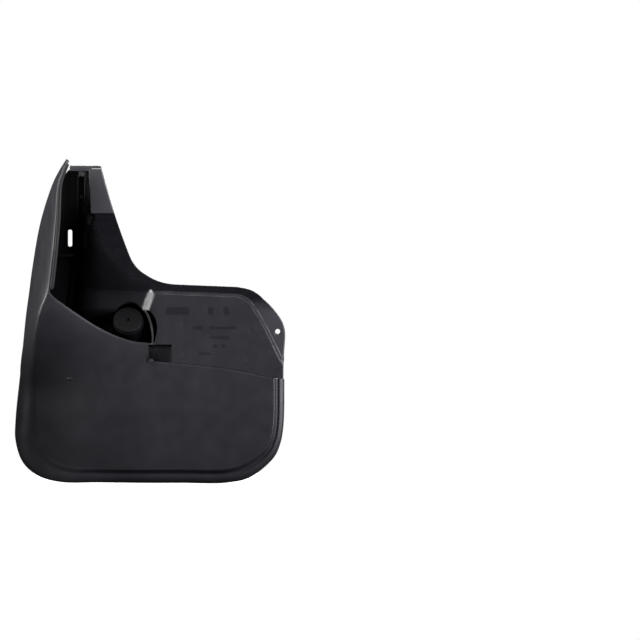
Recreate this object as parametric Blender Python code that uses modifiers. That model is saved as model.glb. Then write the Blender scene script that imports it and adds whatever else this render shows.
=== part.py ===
"""Moulded mud flap for one wheel of a car, as its separate mouldings, rubber pieces, clip and rivets.

Origin: the centre of the inner carrier's flat face. +X points to the vehicle's centre line, +Z up,
-Y towards the bodywork and +Y towards the wheel. Sizes and outlines below are in millimetres.
"""

import math

import bmesh
import bpy
import numpy as np
from mathutils import Matrix, Vector

MM = 0.001

# Driving dimensions.
SKIN = 2.8  # wall of the outer shell
WALL = 3.0  # wall of the carrier and of the channel back
GAP = 0.35  # between two pieces that touch
SEAM_Y = -3.2  # front face of the outer shell where it overlaps the carrier
FLANGE_Y = 5.0  # how far the carrier's edge flange lies behind its flat face
UPRIGHT_LEAN = 13.0  # how much further back the flange lies at the top of the upright
LAND_Y = 44.0  # front of the carrier's land on the channel back
BACK_Y = LAND_Y + WALL + GAP  # front of the channel back
TOP_Z = 173.8  # top of the upright
LAND_WIDTH = 6.5
BACK_CLEARANCE = 2.2  # between the carrier and the channel back's side wall
CARRIER_FOOT = -60.0  # lower end of the carrier, behind the outer shell
COVERED_Y = 0.5  # front of the carrier where the outer shell covers it
RECESS_DEPTH = 8.5  # at the recess's deeper end
TAB_SLOPE = (0.11, 0.06)
TAB_NOTCH = (57.35, -45.72)  # right of and below this the carrier leaves room for the shell's rim
STEP_RUN = 3.2  # width of the sloped wall between the flat face and the flange
FACE_ROLL = 10.0  # width of the flat face's rolled left edge
STEPS = 2  # points between two outline points

# Outer edge x, z; crease or panel edge x, z; y of the outer edge; share of the stepped rim.
SHELL_EDGE = (
    (-156.5, 185.3, -155.6, 183.9, -9.0, 0.0),
    (-165.5, 171.0, -161.5, 170.0, 8.0, 0.0),
    (-172.0, 158.0, -165.3, 157.0, 24.0, 0.0),
    (-184.6, 119.0, -167.6, 118.0, 44.0, 0.0),
    (-193.8, 67.0, -172.5, 67.0, 46.4, 0.0),
    (-196.5, 46.0, -175.6, 46.0, 46.4, 0.0),
    (-199.9, 21.0, -184.5, 21.0, 46.4, 0.0),
    (-205.3, -34.0, -189.0, -32.0, 46.4, 0.0),
    (-211.2, -90.0, -189.0, -88.0, 42.0, 0.0),
    (-211.1, -111.0, -187.0, -106.0, 36.0, 0.1),
    (-203.0, -134.0, -180.0, -121.0, 27.0, 0.4),
    (-187.0, -148.0, -168.0, -133.0, 19.0, 0.8),
    (-163.0, -154.5, -151.0, -139.5, 12.0, 1.0),
    (-121.0, -155.3, -121.0, -140.8, 9.0, 1.0),
    (-79.0, -156.1, -79.0, -141.0, 9.0, 1.0),
    (-34.0, -156.1, -34.0, -141.0, 9.0, 1.0),
    (12.0, -155.6, 11.0, -140.8, 9.0, 1.0),
    (36.5, -150.0, 30.0, -135.4, 9.0, 1.0),
    (62.0, -129.0, 50.6, -121.6, 9.0, 1.0),
    (69.2, -112.8, 57.8, -109.6, 9.0, 1.0),
    (72.0, -96.0, 60.8, -95.0, 9.0, 1.0),
    (72.9, -78.0, 61.6, -78.0, 9.0, 1.0),
    (73.0, -60.0, 61.7, -60.0, 9.0, 1.0),
    (73.0, -46.4, 61.6, -46.4, 9.0, 1.0),
)
SHOULDER, LOWER_LEFT, LOWER_RIGHT = 5, 10, 18  # places in SHELL_EDGE where the panel has its corners
POCKET_EDGE = ((-175.6, 46.0), (-170.0, 39.6), (-160.0, 32.2), (-147.0, 23.0), (-124.5, 8.5),
               (-104.0, -1.5), (-86.0, -7.2), (-70.6, -9.0))
SEAM = ((-70.0, -28.0), (-46.0, -30.0), (-10.0, -33.5), (30.0, -39.4), (61.6, -46.4))
SIDE_SAMPLES = (0.0, 0.1, 0.2, 0.3, 0.45, 0.65, 0.85, 1.0)  # across the turned side or the rim

# Edges of the carrier as z, x: its tab, flat face, upright, the start of its roll and its land.
TAB_EDGE = ((-60.0, 71.4), (-27.0, 71.6), (1.0, 74.2), (7.0, 73.4), (14.4, 69.9), (25.2, 62.5),
            (35.2, 53.2), (43.2, 43.6), (47.0, 35.8), (49.5, 23.0))
STEP_EDGE = ((-60.0, 66.0), (-30.0, 67.0), (-23.5, 66.0), (-13.4, 61.8), (8.2, 51.0), (26.7, 40.2),
             (34.6, 34.0), (38.5, 26.0), (49.5, 18.0))
UPRIGHT_EDGE = ((52.8, -42.0), (54.1, -52.0), (57.3, -62.4), (61.2, -70.0), (68.4, -80.4),
                (78.0, -87.9), (91.0, -93.4), (115.0, -102.2), (138.0, -109.7), (162.0, -116.6),
                (TOP_Z, -119.6))
ROLL_EDGE = ((-60.0, -61.0), (30.0, -61.0), (45.0, -65.0), (57.0, -80.0), (66.0, -93.0),
             (78.0, -106.0), (90.0, -116.0), (108.0, -123.0), (126.0, -126.5), (133.0, -130.0),
             (TOP_Z, -130.0))
LAND_EDGE = ((-60.0, -150.0), (15.0, -150.0), (50.0, -146.0), (90.0, -141.0), (130.0, -139.0),
             (TOP_Z, -138.0))
RECESS_TOP = -10.0
SEAM_ROWS = (-4.5, 0.3, 1.1)  # rows that follow the seam, this far above it
LOWER_ROWS = (-10.0, -9.2, 1.0, 13.0, 25.0, 34.0, 39.5, 42.2, 45.5, 49.5)
FACE_TOP = 41.0  # the rows of the lower block below this carry the flat face
STRETCH_FROM, LOWER_TOP = 36.0, 49.5  # rows between these are stretched up to the top edge
TOP_RIGHT, TOP_RISE = 50.2, 2.6  # z of the top edge at its right-hand end, and its rise to the left
UPPER_ROWS = (52.8, 55.5, 59.0, 63.0, 68.0, 76.0, 90.0, 108.0, 126.0, 142.0, 158.0, TOP_Z)
CORNER_X, RECESS_X = -42.0, -46.5  # where the upright starts and where the recess has sunk a little
ROLL_SHARES = (0.0, 0.1, 0.22, 0.38, 0.58, 0.8, 1.0)

# Channel back: right-hand edge and left-hand edge as z, x.
BACK_RIGHT = ((-108.0, -43.0), (36.0, -43.0), (46.0, -52.0), (53.0, -65.0), (62.0, -81.0),
              (74.0, -91.0), (92.0, -98.0), (116.0, -107.0), (138.0, -114.5), (TOP_Z, -124.0))
BACK_LEFT = ((-108.0, -180.0), (-76.0, -181.0), (-58.0, -203.0), (21.0, -197.6), (67.0, -191.6),
             (119.0, -182.6), (138.0, -177.0), (147.0, -172.5), (158.0, -166.5), (166.0, -160.5),
             (TOP_Z, -154.5))
BACK_ROWS = (-108.0, -95.0, -86.0, -77.0, -68.0, -60.0, -40.0, -20.0, 0.0, 20.0, 36.0, 46.0, 54.0,
             64.0, 76.0, 92.0, 116.0, 138.0, 147.0, 158.0, 166.0, TOP_Z)
SLOT = (-155.5, -151.1, 93.4, 111.2)  # x and z of the slot in the channel back
LEDGE = (-168.0, -149.4, 82.5, 85.5)
CUT_REACH = 20.0  # how far a cutter sticks out of the wall it cuts

BOSS_FACE = Vector((-91.4, 7.0, 15.0))  # centre of the boss's front face
BOSS_TILT = math.radians(30.0)  # the face looks up by this much
BOSS_RADIUS = 16.6
BUFFER_RADIUS = 15.2
BUFFER_THICK = 2.6
PILOT_RADIUS = 1.6
BOSS_LENGTH, BOSS_WALL, BOSS_FACE_WALL = 65.0, 3.0, 3.5
WELL_RADIUS = 18.4

SEAL_RADIUS = 2.3
SHELF_X = (-153.6, -119.6)
SHELF_HOLE = (-138.0, 27.0)  # x, y
SHELF_HOLE_RADIUS = 3.5
SHELF_TILT = math.radians(2.5)
SHELF_TOP = 178.4  # top of the shelf at its front
LIP_RIGHT, LIP_DROP = -133.7, 5.6  # the lip's right-hand end and its height
NUT_WIDTH, NUT_DEPTH, NUT_SHEET = 11.0, 19.0, 1.2
NUT_EAR = 7.2  # how far its front edge is folded down
BARREL_RADIUS, BARREL_HEIGHT = 4.1, 5.0
TAB_HOLE = (65.9, 3.8)
TAB_HOLE_RADIUS, TAB_SINK_RADIUS, TAB_SINK_DEPTH = 2.6, 3.5, 1.8
PAD_Z = (128.0, 175.0)
PAD_LEFT = ((128.0, -131.2), (175.0, -133.3))
PAD_THICK = 3.0

RIVET_HEAD_RADIUS, RIVET_HEAD_HEIGHT, RIVET_SHANK_RADIUS = 5.0, 2.2, 2.0
BLIND_DEPTH = 1.6  # how far a rivet reaches into the outer shell
SEAM_RIVETS = ((-25.0, -52.5), (8.0, -53.5), (40.0, -54.5))
SKIRT_RIVETS = ((-152.0, -101.5), (-108.0, -101.5), (-64.0, -101.5))
LAND_RIVETS = (8.0, 66.0, 146.0)

BLACK = (0.030, 0.030, 0.034)


def ease(value):
    """Runs smoothly from 0 to 1 as the value does."""
    t = np.clip(value, 0.0, 1.0)
    return t * t * (3.0 - 2.0 * t)


def curve_through(points, steps):
    """A smooth curve through the points, with the same number of steps between each two."""
    points = np.array(points, float)
    gaps = np.linalg.norm(np.diff(points[:, :2], axis=0), axis=1)[:, None] ** 0.5
    slopes = np.diff(points, axis=0) / gaps
    inner = (slopes[:-1] * gaps[1:] + slopes[1:] * gaps[:-1]) / (gaps[1:] + gaps[:-1])
    tangents = np.vstack((slopes[:1], inner, slopes[-1:]))
    found = []
    for i, gap in enumerate(gaps):
        for t in np.arange(steps) / steps:
            found.append(
                (1 + 2 * t) * (1 - t) ** 2 * points[i] + t * (1 - t) ** 2 * gap * tangents[i]
                + t * t * (3 - 2 * t) * points[i + 1] - t * t * (1 - t) * gap * tangents[i + 1]
            )
    return np.array(found + [points[-1]])


def read_edge(edge, z):
    """The x of an edge given as z, x points, at height z."""
    return float(np.interp(z, [p[0] for p in edge], [p[1] for p in edge]))


def evenly(points, count):
    """The same line with its points moved to equal distances."""
    length = np.concatenate(([0.0], np.cumsum(np.linalg.norm(np.diff(points, axis=0), axis=1))))
    wanted = np.linspace(0.0, length[-1], count)
    return np.column_stack([np.interp(wanted, length, column) for column in points.T])


def shell_y(x, z):
    """Front face of the outer shell: it falls back at its lower left, and stands forward at the wing."""
    left = np.clip((-70.0 - x) / 130.0, 0.0, 1.0)
    fall = 24.0 * left**2 * (1.0 - ease((z + 70.0) / 100.0))
    forward = 12.0 * ease((-75.0 - x) / 100.0) * ease((z + 60.0) / 100.0)
    wing = 4.0 * ease((z - 40.0) / 60.0)
    foot = 4.0 * np.clip((-70.0 - z) / 85.0, 0.0, 1.0) ** 2
    return SEAM_Y + fall - forward - wing + foot


def flange_y(z):
    return FLANGE_Y + UPRIGHT_LEAN * ease((z - 50.0) / 120.0)


def turned_side(w, sharpness):
    """Share of the depth reached at share w of the width, for a corner that turns back."""
    return 1.0 - (1.0 - w**sharpness) ** (1.0 / sharpness)


def stepped_rim(w):
    """The same for a rim: a short wall, then a lip that leans back a little."""
    return 0.68 * ease((w - 0.05) / 0.25) + 0.32 * np.clip((w - 0.3) / 0.7, 0.0, 1.0) ** 1.5


def add_grid(mesh, rows):
    """Joins rows of points with four-sided faces: the loft between them."""
    verts = [[mesh.verts.new(Vector(p) * MM) for p in row] for row in rows]
    for upper, lower in zip(verts, verts[1:]):
        for i in range(len(upper) - 1):
            mesh.faces.new((upper[i], upper[i + 1], lower[i + 1], lower[i]))


def material_of(name, colour, roughness, metallic=0.0):
    material = bpy.data.materials.new(name)
    material.use_nodes = True
    shader = material.node_tree.nodes["Principled BSDF"]
    shader.inputs["Base Color"].default_value = (*colour, 1.0)
    shader.inputs["Roughness"].default_value = roughness
    shader.inputs["Metallic"].default_value = metallic
    return material


def add_object(name, mesh, material, collection=None):
    obj = bpy.data.objects.new(name, mesh)
    (collection or PARTS).objects.link(obj)
    if material:
        mesh.materials.append(material)
    mesh.shade_smooth()
    mesh.set_sharp_from_angle(angle=math.radians(40.0))
    return obj


def shell_from(name, patches, thickness, material):
    """One wall of even thickness behind a front made of lofts that share their edges."""
    mesh = bmesh.new()
    for rows in patches:
        add_grid(mesh, rows)
    bmesh.ops.remove_doubles(mesh, verts=mesh.verts, dist=1e-5)
    bmesh.ops.recalc_face_normals(mesh, faces=mesh.faces)
    if sum(f.normal.y * f.calc_area() for f in mesh.faces) > 0.0:
        bmesh.ops.reverse_faces(mesh, faces=mesh.faces)
    data = bpy.data.meshes.new(name)
    mesh.to_mesh(data)
    mesh.free()
    obj = add_object(name, data, material)
    solid = obj.modifiers.new("wall", "SOLIDIFY")
    solid.thickness = thickness * MM
    solid.offset = -1.0
    solid.use_even_offset = True
    return obj


def prepare_cutter(cutter, name):
    cutter.name = name
    cutter.hide_render = True
    cutter.display_type = "WIRE"
    for collection in list(cutter.users_collection):
        collection.objects.unlink(cutter)
    CUTTERS.objects.link(cutter)
    return cutter


def cylinder_cutter(name, centre, radius, depth, rotation=None, vertices=24, far_radius=None):
    mesh = bmesh.new()
    bmesh.ops.create_cone(
        mesh, cap_ends=True, segments=vertices, radius1=radius * MM,
        radius2=(far_radius or radius) * MM, depth=depth * MM,
    )
    data = bpy.data.meshes.new(name)
    mesh.to_mesh(data)
    mesh.free()
    cutter = add_object(name, data, None, CUTTERS)
    cutter.matrix_world = Matrix.Translation(Vector(centre) * MM) @ (rotation or AXIS_Y).to_4x4()
    return prepare_cutter(cutter, name)


def rivet_cutter(name, place, depth, rotation=None):
    return cylinder_cutter(name, place, RIVET_SHANK_RADIUS + GAP, depth, rotation, 12)


def box_mesh(name, low, high):
    mesh = bmesh.new()
    low, high = Vector(low) * MM, Vector(high) * MM
    bmesh.ops.create_cube(mesh, size=1.0)
    bmesh.ops.scale(mesh, verts=mesh.verts, vec=high - low)
    bmesh.ops.translate(mesh, verts=mesh.verts, vec=(low + high) / 2)
    data = bpy.data.meshes.new(name)
    mesh.to_mesh(data)
    mesh.free()
    return data


def box_cutter(name, low, high):
    return prepare_cutter(add_object(name, box_mesh(name, low, high), None, CUTTERS), name)


def boolean(obj, other, operation="DIFFERENCE"):
    modifier = obj.modifiers.new(other.name, "BOOLEAN")
    modifier.operation = operation
    modifier.object = other
    modifier.solver = "EXACT"


def turned(name, profile, material, steps=32):
    """A closed profile of radius, height pairs turned about Z, outer side running downwards."""
    data = bpy.data.meshes.new(name)
    points = [(r * MM, 0.0, h * MM) for r, h in profile]
    closed = profile[0][0] > 0.0
    edges = [(i, i + 1) for i in range(len(points) - 1)] + ([(len(points) - 1, 0)] if closed else [])
    data.from_pydata(points, edges, [])
    obj = add_object(name, data, material)
    screw = obj.modifiers.new("turn", "SCREW")
    screw.axis = "Z"
    screw.steps = screw.render_steps = steps
    screw.use_merge_vertices = True
    screw.merge_threshold = 0.00001
    return obj


AXIS_Y = Matrix.Rotation(math.radians(90.0), 3, "X")  # turns local Z to face -Y
AXIS_BACK = Matrix.Rotation(math.radians(-90.0), 3, "X")  # turns local Z to face +Y
AXIS_BOSS = Matrix.Rotation(math.radians(90.0) - BOSS_TILT, 3, "X")


def edge_strip(lines):
    """The turned side of the wing and panel and the stepped rim round the bottom, as one band."""
    rows = []
    for w in SIDE_SAMPLES:
        row = []
        for outer_x, outer_z, inner_x, inner_z, outer_y, rim in lines:
            x, z = inner_x + w * (outer_x - inner_x), inner_z + w * (outer_z - inner_z)
            start = shell_y(inner_x, inner_z)
            # The side is nearly flat on the wing and rounder further down.
            sharpness = 1.35 + 0.65 * ease((60.0 - outer_z) / 120.0)
            share = (1.0 - rim) * turned_side(w, sharpness) + rim * stepped_rim(w)
            row.append((x, start + share * (outer_y - start), z))
        rows.append(row)
    return rows


def panel_patch(lines):
    """The panel between the crease, the pocket's edge, the seam and the rim."""
    left = lines[SHOULDER * STEPS : LOWER_LEFT * STEPS + 1, 2:4][::-1]
    bottom = lines[LOWER_LEFT * STEPS : LOWER_RIGHT * STEPS + 1, 2:4]
    right = lines[LOWER_RIGHT * STEPS :, 2:4]
    free_count = len(bottom) * 4 // 9
    free = evenly(curve_through(POCKET_EDGE, 4), free_count)
    seam = evenly(curve_through(SEAM, 4), len(bottom) - free_count)
    top = np.vstack((free, seam))
    u = np.linspace(0.0, 1.0, len(bottom))
    v = np.linspace(0.0, 1.0, len(left))
    rows = []
    for j, share in enumerate(v):
        flat = (
            (1 - share) * bottom + share * top
            + (1 - u)[:, None] * left[j] + u[:, None] * right[j]
            - (1 - share) * ((1 - u)[:, None] * bottom[0] + u[:, None] * bottom[-1])
            - share * ((1 - u)[:, None] * top[0] + u[:, None] * top[-1])
        )
        rows.append([(x, shell_y(x, z), z) for x, z in flat])
    return rows


def make_outer_shell():
    lines = curve_through(SHELL_EDGE, STEPS)
    plastic = material_of("shell_plastic", BLACK, 0.45)
    shell = shell_from("outer_shell", (edge_strip(lines), panel_patch(lines)), SKIN, plastic)
    for i, (x, z) in enumerate(SEAM_RIVETS + SKIRT_RIVETS):
        place, rotation = on_shell(x, z, SKIN)
        boolean(shell, rivet_cutter(f"shell_hole_{i}", place, 2 * BLIND_DEPTH, rotation))


def on_shell(x, z, behind):
    """A point this far behind the outer shell's front, and the turn that faces local Z away from it."""
    step = 0.5
    slope_x = (shell_y(x + step, z) - shell_y(x - step, z)) / (2 * step)
    slope_z = (shell_y(x, z + step) - shell_y(x, z - step)) / (2 * step)
    normal = Vector((-slope_x, 1.0, -slope_z)).normalized()
    return Vector((x, shell_y(x, z), z)) + behind * normal, normal.to_track_quat("Z", "Y").to_matrix()


def seam_z(x):
    return float(np.interp(x, [p[0] for p in SEAM], [p[1] for p in SEAM]))


def tab_y(x, z):
    """The tab's flat face: it leans away towards its top and its outer edge."""
    return FLANGE_Y + TAB_SLOPE[0] * (x - 45.0) + TAB_SLOPE[1] * z


def raised(x, z):
    """Height at x of the lower block's row z; its top edge rises to the left."""
    top = TOP_RIGHT + TOP_RISE * float(np.clip((22.0 - x) / 64.0, 0.0, 1.0))
    share = max(0.0, z - STRETCH_FROM) / (LOWER_TOP - STRETCH_FROM)
    return min(z, STRETCH_FROM) + share * (top - STRETCH_FROM)


def roll_depth(share, z):
    """Share of the depth to the land: a quarter round on the upright, a quicker roll at both ends."""
    slow = ease((z - 8.0) / 20.0) * (1.0 - ease((z - 115.0) / 20.0))
    return (1.0 - slow) * ease(share**0.8) + slow * (1.0 - np.sqrt(1.0 - 0.99 * share**1.9)) / 0.9


def carrier_row(z, upper, seam_offset=None):
    """One section of the carrier, from its right-hand edge to its land, as points."""
    left_z = z if upper else raised(CORNER_X, z)
    covered = seam_offset is not None and seam_offset < 1.0
    on_face = z < FACE_TOP
    base = COVERED_Y if covered else 0.0 if on_face else flange_y(left_z)
    if upper:
        edge_x = read_edge(UPRIGHT_EDGE, z)
        row = [(edge_x, base), (edge_x - 4.5, base)]
    else:
        edge_x, step_x = read_edge(TAB_EDGE, z), read_edge(STEP_EDGE, z)
        outside = (edge_x, (edge_x + step_x + STEP_RUN) / 2, step_x + STEP_RUN)
        on_tab = z < STRETCH_FROM and not covered
        row = [(x, tab_y(x, z) if on_tab else FLANGE_Y) for x in outside]
        row.append((step_x, base))
        row += [(step_x + share * (CORNER_X - step_x), base) for share in (0.25, 0.5, 0.75)]
        recess = -50.0 < z <= RECESS_TOP
        row += [(CORNER_X, base), (RECESS_X, base + (0.25 * RECESS_DEPTH if recess else 0.0))]
        base = RECESS_DEPTH if recess else base
    # The flat face's left edge first rolls down to the flange's depth.
    start, land_x = read_edge(ROLL_EDGE, left_z), read_edge(LAND_EDGE, left_z)
    row.append((start, base))
    roll_x, roll_y = start - (FACE_ROLL if on_face else 0.05 * FACE_ROLL), max(base, FLANGE_Y)
    for share in ROLL_SHARES:
        x = roll_x + share * (land_x - roll_x)
        row.append((x, roll_y + (LAND_Y - roll_y) * roll_depth(share, left_z)))
    row.append((land_x - LAND_WIDTH, LAND_Y))
    if seam_offset is not None:
        return [(x, y, seam_z(x) + seam_offset) for x, y in row]
    return [(x, y, z if upper else raised(x, z)) for x, y in row]


def make_inner_carrier():
    bottom = carrier_row(CARRIER_FOOT, upper=False)
    seam = [carrier_row(seam_z(90.0) + offset, False, offset) for offset in SEAM_ROWS]
    lower = [bottom] + seam + [carrier_row(z, upper=False) for z in LOWER_ROWS]
    upper = [carrier_row(z, upper=True) for z in UPPER_ROWS]
    plastic = material_of("carrier_plastic", (0.036, 0.036, 0.041), 0.5)
    carrier = shell_from("inner_carrier", (lower, upper), WALL, plastic)
    notch = box_cutter("tab_notch", (TAB_NOTCH[0], -20.0, -80.0), (90.0, 40.0, TAB_NOTCH[1]))
    boolean(carrier, notch)
    boolean(carrier, cylinder_cutter("well", BOSS_FACE, WELL_RADIUS, 90.0, AXIS_BOSS, 32))
    x, z = TAB_HOLE
    face = tab_y(x, z)
    boolean(carrier, cylinder_cutter("tab_hole", (x, face, z), TAB_HOLE_RADIUS, CUT_REACH))
    # The sink is a cone that ends twice its depth in front of the tab's face.
    slope = (TAB_SINK_RADIUS - TAB_HOLE_RADIUS) / TAB_SINK_DEPTH
    sink = cylinder_cutter(
        "tab_sink", (x, face - TAB_SINK_DEPTH / 2, z), TAB_HOLE_RADIUS, 3 * TAB_SINK_DEPTH,
        far_radius=TAB_HOLE_RADIUS + 3 * slope * TAB_SINK_DEPTH,
    )
    boolean(carrier, sink)
    for i, (x, z) in enumerate(SEAM_RIVETS):
        boolean(carrier, rivet_cutter(f"carrier_hole_{i}", (x, WALL, z), CUT_REACH))
    for i, place in enumerate(land_places()):
        boolean(carrier, rivet_cutter(f"land_hole_{i}", place, CUT_REACH))


def land_places():
    """Points on the rear of the channel back, behind the middle of the carrier's land."""
    return [Vector((read_edge(LAND_EDGE, z) - LAND_WIDTH / 2, BACK_Y + WALL, z)) for z in LAND_RIVETS]


def back_row(z):
    """One section of the channel back: the rear wall, then its side wall coming forward."""
    left, right = read_edge(BACK_LEFT, z), read_edge(BACK_RIGHT, z)
    up = ease((z + 95.0) / 35.0)
    row = []
    for share in np.linspace(0.0, 1.0, 8):
        x = left + share * (right - left)
        row.append((x, up * BACK_Y + (1.0 - up) * (shell_y(x, z) + SKIN + 2 * GAP), z))
    rear = row[-1][1]
    front = flange_y(z) + WALL + BACK_CLEARANCE if z > 30.0 else WALL + BACK_CLEARANCE
    front = rear + (front - rear) * up
    for share in (0.35, 1.0):
        row.append((right + 0.8 * share, rear + share * (front - rear), z))
    return row


def make_channel_back():
    plastic = material_of("back_plastic", (0.026, 0.026, 0.030), 0.55)
    back = shell_from("channel_back", ([back_row(z) for z in BACK_ROWS],), WALL, plastic)
    x0, x1, z0, z1 = SLOT
    boolean(back, box_cutter("slot", (x0, BACK_Y - CUT_REACH, z0), (x1, BACK_Y + CUT_REACH, z1)))
    x0, x1, z0, z1 = LEDGE
    boolean(back, box_cutter("ledge", (x0, BACK_Y - 16.0, z0), (x1, BACK_Y + 1.0, z1)), "UNION")
    for i, place in enumerate(land_places()):
        boolean(back, rivet_cutter(f"back_hole_{i}", place, CUT_REACH))
    for i, (x, z) in enumerate(SKIRT_RIVETS):
        place, rotation = on_shell(x, z, SKIN + WALL)
        boolean(back, rivet_cutter(f"skirt_hole_{i}", place, 4 * WALL, rotation))


def make_boss():
    """The tilted screw boss, cut off where it stands on the channel back."""
    plastic = material_of("boss_plastic", (0.045, 0.045, 0.05), 0.45)
    inside = BOSS_RADIUS - BOSS_WALL
    profile = (
        (PILOT_RADIUS, 0.0), (BOSS_RADIUS - 1.0, 0.0), (BOSS_RADIUS, -1.0),
        (BOSS_RADIUS, -BOSS_LENGTH), (inside, -BOSS_LENGTH), (inside, -BOSS_FACE_WALL),
        (PILOT_RADIUS, -BOSS_FACE_WALL),
    )
    boss = turned("screw_boss", profile, plastic)
    boss.matrix_world = Matrix.Translation(BOSS_FACE * MM) @ AXIS_BOSS.to_4x4()
    low, high = (-140.0, BACK_Y - GAP, -90.0), (-40.0, BACK_Y + BOSS_LENGTH, 40.0)
    boolean(boss, box_cutter("boss_foot", low, high))
    rubber = material_of("buffer_rubber", (0.018, 0.018, 0.019), 0.7)
    profile = (
        (PILOT_RADIUS, GAP + BUFFER_THICK), (BUFFER_RADIUS - 1.0, GAP + BUFFER_THICK),
        (BUFFER_RADIUS, GAP + BUFFER_THICK - 1.0), (BUFFER_RADIUS, GAP), (PILOT_RADIUS, GAP),
    )
    buffer = turned("boss_buffer", profile, rubber)
    buffer.matrix_world = Matrix.Translation(BOSS_FACE * MM) @ AXIS_BOSS.to_4x4()


def make_wing_seal():
    """A round rubber strip along the wing's free edge, in line with the middle of the wing's wall."""
    lines = curve_through(SHELL_EDGE, STEPS)[: SHOULDER * STEPS]
    first, second = (edge_strip(lines)[i] for i in (0, 1))
    points = []
    for edge, further in list(zip(first, second))[1:]:
        back = Vector((further[0] - edge[0], further[1] - edge[1], 0.0)).normalized()
        inward = Vector((back.y, -back.x, 0.0))
        points.append(Vector(edge) + inward * SKIN / 2 - back * (SEAL_RADIUS + GAP))
    curve = bpy.data.curves.new("wing_edge_seal", "CURVE")
    curve.dimensions = "3D"
    curve.bevel_depth = SEAL_RADIUS * MM
    curve.bevel_resolution = 2
    curve.use_fill_caps = True
    spline = curve.splines.new("POLY")
    spline.points.add(len(points) - 1)
    for point, place in zip(spline.points, points):
        point.co = (*(place * MM), 1.0)
    curve.materials.append(material_of("seal_rubber", (0.02, 0.02, 0.021), 0.75))
    PARTS.objects.link(bpy.data.objects.new("wing_edge_seal", curve))


def make_upright_pad():
    """A flat pad on the upper end of the upright."""
    rows = []
    for z in np.linspace(*PAD_Z, 4):
        right, left = read_edge(UPRIGHT_EDGE, z) + 0.3, read_edge(PAD_LEFT, z)
        y = flange_y(z) - GAP - PAD_THICK
        rows.append([(right, y, z), ((left + right) / 2, y, z), (left, y, z)])
    plastic = material_of("pad_plastic", (0.06, 0.06, 0.065), 0.5)
    shell_from("upright_pad", (rows,), PAD_THICK, plastic)


def shelf_frame():
    """Places a shape that lies under z = 0, with its front at y = 0, on the tilted shelf."""
    place = Vector((0.0, flange_y(TOP_Z) - PAD_THICK - GAP, SHELF_TOP)) * MM
    return Matrix.Translation(place) @ Matrix.Rotation(SHELF_TILT, 4, "X")


def make_top_shelf():
    """A plate that closes the channel at the top, with a lip in front and a screw hole."""
    x0, x1 = SHELF_X
    front = flange_y(TOP_Z) - PAD_THICK - GAP
    plate = box_mesh("top_shelf", (x0, 0.0, -WALL), (x1, BACK_Y + WALL - front, 0.0))
    shelf = add_object("top_shelf", plate, material_of("shelf_plastic", (0.05, 0.05, 0.055), 0.5))
    shelf.matrix_world = shelf_frame()
    low, high = (x0, front, SHELF_TOP - LIP_DROP), (LIP_RIGHT, front + WALL, SHELF_TOP)
    boolean(shelf, box_cutter("shelf_lip", low, high), "UNION")
    x, y = SHELF_HOLE
    upright = Matrix.Identity(3)
    place = (x, y, SHELF_TOP)
    boolean(shelf, cylinder_cutter("shelf_hole", place, SHELF_HOLE_RADIUS, CUT_REACH, upright))


def make_spring_nut():
    """The folded sheet nut under the shelf's hole: a plate, an ear folded down in front, a barrel."""
    x, y = SHELF_HOLE
    front = flange_y(TOP_Z) - PAD_THICK - GAP
    near = WALL + 2.0
    top = -WALL - GAP
    low = (x - NUT_WIDTH / 2, near, top - NUT_SHEET)
    plate = box_mesh("top_spring_nut", low, (x + NUT_WIDTH / 2, near + NUT_DEPTH, top))
    steel = material_of("spring_steel", (0.35, 0.34, 0.32), 0.4, 1.0)
    nut = add_object("top_spring_nut", plate, steel)
    nut.matrix_world = shelf_frame()
    low = (x - NUT_WIDTH / 2 + 1.0, near, top - NUT_SHEET - NUT_EAR)
    ear = box_cutter("nut_ear", low, (x + NUT_WIDTH / 2 - 1.0, near + NUT_SHEET, top - 0.2))
    ear.matrix_world = shelf_frame()
    boolean(nut, ear, "UNION")
    height = Vector((x, y - front, top - 0.2 - BARREL_HEIGHT / 2)) * MM
    upright = Matrix.Identity(3)
    middle = (0.0, 0.0, 0.0)
    barrel = cylinder_cutter("nut_barrel", middle, BARREL_RADIUS, BARREL_HEIGHT, upright)
    bore = cylinder_cutter("nut_bore", middle, SHELF_HOLE_RADIUS - 1.0, CUT_REACH, upright)
    for cutter, operation in ((barrel, "UNION"), (bore, "DIFFERENCE")):
        cutter.matrix_world = shelf_frame() @ Matrix.Translation(height)
        boolean(nut, cutter, operation)


def make_rivets():
    """Rivets joining shell, carrier and channel back; their heads are on the wheel side."""
    steel = material_of("rivet_metal", (0.10, 0.10, 0.105), 0.45, 1.0)
    places = []
    for x, z in SEAM_RIVETS + SKIRT_RIVETS:
        places.append((*on_shell(x, z, SKIN + WALL + 3 * GAP), WALL + GAP + BLIND_DEPTH))
    for place in land_places():
        places.append((place + Vector((0.0, GAP, 0.0)), AXIS_BACK, 2 * WALL + GAP))
    for i, (place, rotation, length) in enumerate(places):
        head, height = RIVET_HEAD_RADIUS, RIVET_HEAD_HEIGHT
        profile = (
            (0.0, height), (0.6 * head, 0.8 * height), (head, 0.25 * height), (head, 0.0),
            (RIVET_SHANK_RADIUS, 0.0), (RIVET_SHANK_RADIUS, -length), (0.0, -length),
        )
        rivet = turned(f"joining_rivet_{i + 1}", profile, steel, 16)
        rivet.matrix_world = Matrix.Translation(place * MM) @ rotation.to_4x4()


for old in list(bpy.data.objects):
    bpy.data.objects.remove(old)
PARTS = bpy.data.collections.new("mud_flap")
CUTTERS = bpy.data.collections.new("cutters")
for group in (PARTS, CUTTERS):
    bpy.context.scene.collection.children.link(group)

make_outer_shell()
make_inner_carrier()
make_channel_back()
make_boss()
make_wing_seal()
make_upright_pad()
make_top_shelf()
make_spring_nut()
make_rivets()
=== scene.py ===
import math

import bmesh
import bpy
import numpy as np
from mathutils import Matrix, Vector


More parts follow.
